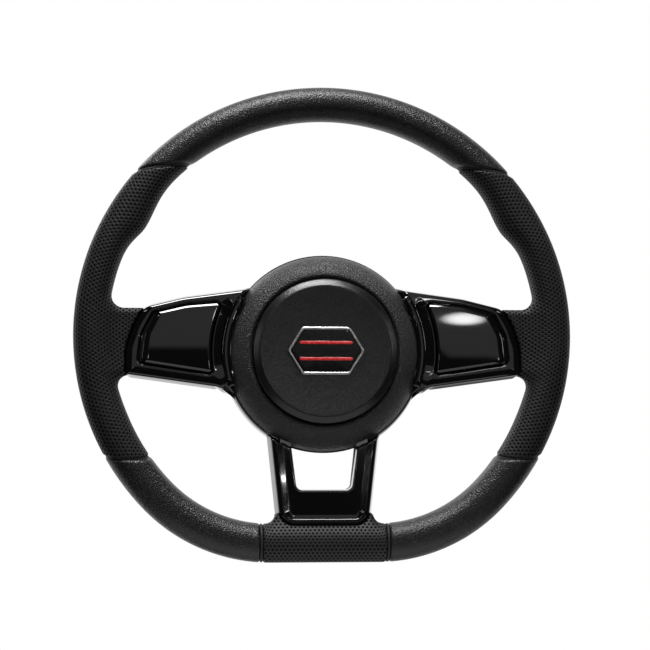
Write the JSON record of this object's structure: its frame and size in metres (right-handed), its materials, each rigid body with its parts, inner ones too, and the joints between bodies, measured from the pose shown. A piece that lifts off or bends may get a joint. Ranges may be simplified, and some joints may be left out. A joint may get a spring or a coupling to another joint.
{
  "type": "car steering wheel",
  "caption": "Flat-bottomed sports steering wheel with leather grips, gloss black spokes and a round horn button that presses in.",
  "frame": {"origin": "centre of the column bore at the boss's rear face", "axes": "+Y out of the bore, away from the driver; +Z towards the top of the rim; +X to the driver's right"},
  "size_m": [0.3698, 0.0658, 0.3532],
  "materials": {
    "casting": "cast",
    "steel": "zinc plated",
    "smooth_leather": "smooth grain",
    "perforated_leather": "perforated",
    "seam": "folded edge",
    "piano_black": "piano black",
    "grained_plastic": "leather grained",
    "disc_skin": "fine grained",
    "back_plastic": "spark eroded",
    "contact_brass": "plain",
    "badge_black": "enamel",
    "badge_silver": "bright",
    "badge_red": "enamel"
  },
  "bodies": {
    "wheel": {"armature": "casting", "rim_rod": "steel", "grip_top": "smooth_leather", "grip_left": "perforated_leather", "grip_right": "perforated_leather", "grip_lower_left": "smooth_leather", "grip_lower_right": "smooth_leather", "grip_bottom": "perforated_leather", "seam_inserts": "seam", "spoke_trim_left": "piano_black", "spoke_trim_right": "piano_black", "spoke_trim_lower": "piano_black", "blank_panel_left": "piano_black", "blank_panel_right": "piano_black", "hub_cover": "grained_plastic", "rear_cover": "back_plastic", "trim_screws": "steel", "cover_screws": "steel", "centre_nut": "steel", "horn_contact": "contact_brass", "horn_springs": "steel"},
    "horn": {"horn_plate": "steel", "guide_pins": "steel", "contact_stud": "contact_brass", "horn_button": "disc_skin", "badge_field": "badge_black", "badge_frame": "badge_silver", "badge_stripes": "badge_red"}
  },
  "joints": [
    {"name": "horn_press", "type": "slide", "parent": "wheel", "child": "horn", "axis": [0, 1, 0], "range_m": [0, 0.0025], "stiffness_N_per_m": 9500, "springref_m": -0.001, "deforming": ["horn_springs"]}
  ]
}
